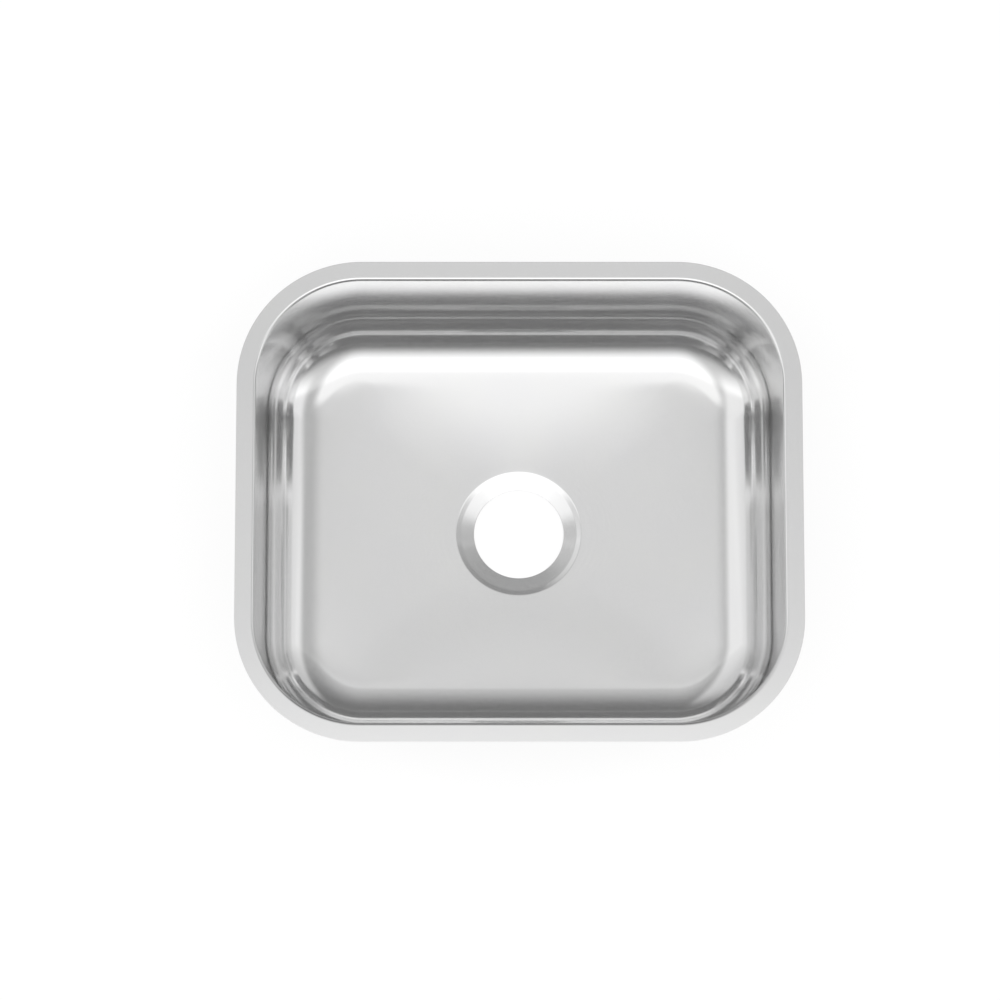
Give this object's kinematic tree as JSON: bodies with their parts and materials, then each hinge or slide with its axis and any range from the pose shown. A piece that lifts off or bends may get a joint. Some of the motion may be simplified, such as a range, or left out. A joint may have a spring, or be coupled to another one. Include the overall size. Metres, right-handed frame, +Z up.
{
  "type": "undermount kitchen sink",
  "caption": "Single-bowl undermount sink: deep-drawn steel bowl with rounded corners, plain flat flange, dished floor and recessed drain hole, with damping pads and swing-out clips underneath.",
  "frame": {"origin": "centre of the bowl's opening, on the flange's top face", "axes": "+X to the right along the long side, +Y to the back, +Z up"},
  "size_m": [0.428, 0.368, 0.1445],
  "materials": {
    "bowl_steel": "satin",
    "damping_rubber": "matte",
    "stud_steel": "satin",
    "zinc_plated_steel": "zinc plated"
  },
  "bodies": {
    "sink": {"bowl": "bowl_steel", "floor_pad_left": "damping_rubber", "floor_pad_right": "damping_rubber", "wall_pad_front": "damping_rubber", "wall_pad_back": "damping_rubber", "wall_pad_left": "damping_rubber", "wall_pad_right": "damping_rubber", "weld_stud_front_left": "stud_steel", "weld_stud_front_right": "stud_steel", "weld_stud_right": "stud_steel", "weld_stud_back_right": "stud_steel", "weld_stud_back_left": "stud_steel", "weld_stud_left": "stud_steel"},
    "clip_front_left": {"clip_front_left": "zinc_plated_steel"},
    "washer_front_left": {"washer_front_left": "zinc_plated_steel"},
    "nut_front_left": {"nut_front_left": "zinc_plated_steel"},
    "clip_front_right": {"clip_front_right": "zinc_plated_steel"},
    "washer_front_right": {"washer_front_right": "zinc_plated_steel"},
    "nut_front_right": {"nut_front_right": "zinc_plated_steel"},
    "clip_right": {"clip_right": "zinc_plated_steel"},
    "washer_right": {"washer_right": "zinc_plated_steel"},
    "nut_right": {"nut_right": "zinc_plated_steel"},
    "clip_back_right": {"clip_back_right": "zinc_plated_steel"},
    "washer_back_right": {"washer_back_right": "zinc_plated_steel"},
    "nut_back_right": {"nut_back_right": "zinc_plated_steel"},
    "clip_back_left": {"clip_back_left": "zinc_plated_steel"},
    "washer_back_left": {"washer_back_left": "zinc_plated_steel"},
    "nut_back_left": {"nut_back_left": "zinc_plated_steel"},
    "clip_left": {"clip_left": "zinc_plated_steel"},
    "washer_left": {"washer_left": "zinc_plated_steel"},
    "nut_left": {"nut_left": "zinc_plated_steel"}
  },
  "joints": [
    {"name": "washer_front_left_lower", "type": "slide", "parent": "sink", "child": "washer_front_left", "axis": [0, 0, -1], "range_m": [0, 0.004]},
    {"name": "nut_front_left_turn", "type": "hinge", "parent": "washer_front_left", "child": "nut_front_left", "pos_m": [-0.075, -0.177, -0.0063], "axis": [0, 0, -1], "range_deg": [0, 1800]},
    {"name": "clip_front_left_swing", "type": "hinge", "parent": "washer_front_left", "child": "clip_front_left", "pos_m": [-0.075, -0.177, -0.0023], "axis": [0, 0, -1], "range_deg": [0, 90]},
    {"name": "washer_front_right_lower", "type": "slide", "parent": "sink", "child": "washer_front_right", "axis": [0, 0, -1], "range_m": [0, 0.004]},
    {"name": "nut_front_right_turn", "type": "hinge", "parent": "washer_front_right", "child": "nut_front_right", "pos_m": [0.075, -0.177, -0.0063], "axis": [0, 0, -1], "range_deg": [0, 1800]},
    {"name": "clip_front_right_swing", "type": "hinge", "parent": "washer_front_right", "child": "clip_front_right", "pos_m": [0.075, -0.177, -0.0023], "axis": [0, 0, 1], "range_deg": [0, 90]},
    {"name": "washer_right_lower", "type": "slide", "parent": "sink", "child": "washer_right", "axis": [0, 0, -1], "range_m": [0, 0.004]},
    {"name": "nut_right_turn", "type": "hinge", "parent": "washer_right", "child": "nut_right", "pos_m": [0.207, 0, -0.0063], "axis": [0, 0, -1], "range_deg": [0, 1800]},
    {"name": "clip_right_swing", "type": "hinge", "parent": "washer_right", "child": "clip_right", "pos_m": [0.207, 0, -0.0023], "axis": [0, 0, 1], "range_deg": [0, 90]},
    {"name": "washer_back_right_lower", "type": "slide", "parent": "sink", "child": "washer_back_right", "axis": [0, 0, -1], "range_m": [0, 0.004]},
    {"name": "nut_back_right_turn", "type": "hinge", "parent": "washer_back_right", "child": "nut_back_right", "pos_m": [0.075, 0.177, -0.0063], "axis": [0, 0, -1], "range_deg": [0, 1800]},
    {"name": "clip_back_right_swing", "type": "hinge", "parent": "washer_back_right", "child": "clip_back_right", "pos_m": [0.075, 0.177, -0.0023], "axis": [0, 0, -1], "range_deg": [0, 90]},
    {"name": "washer_back_left_lower", "type": "slide", "parent": "sink", "child": "washer_back_left", "axis": [0, 0, -1], "range_m": [0, 0.004]},
    {"name": "nut_back_left_turn", "type": "hinge", "parent": "washer_back_left", "child": "nut_back_left", "pos_m": [-0.075, 0.177, -0.0063], "axis": [0, 0, -1], "range_deg": [0, 1800]},
    {"name": "clip_back_left_swing", "type": "hinge", "parent": "washer_back_left", "child": "clip_back_left", "pos_m": [-0.075, 0.177, -0.0023], "axis": [0, 0, 1], "range_deg": [0, 90]},
    {"name": "washer_left_lower", "type": "slide", "parent": "sink", "child": "washer_left", "axis": [0, 0, -1], "range_m": [0, 0.004]},
    {"name": "nut_left_turn", "type": "hinge", "parent": "washer_left", "child": "nut_left", "pos_m": [-0.207, 0, -0.0063], "axis": [0, 0, -1], "range_deg": [0, 1800]},
    {"name": "clip_left_swing", "type": "hinge", "parent": "washer_left", "child": "clip_left", "pos_m": [-0.207, 0, -0.0023], "axis": [0, 0, -1], "range_deg": [0, 90]}
  ],
  "couplings": [
    {"joint": "nut_front_left_turn", "follows": "washer_front_left_lower", "rad_per_m": 7854},
    {"joint": "nut_front_right_turn", "follows": "washer_front_right_lower", "rad_per_m": 7854},
    {"joint": "nut_right_turn", "follows": "washer_right_lower", "rad_per_m": 7854},
    {"joint": "nut_back_right_turn", "follows": "washer_back_right_lower", "rad_per_m": 7854},
    {"joint": "nut_back_left_turn", "follows": "washer_back_left_lower", "rad_per_m": 7854},
    {"joint": "nut_left_turn", "follows": "washer_left_lower", "rad_per_m": 7854}
  ]
}
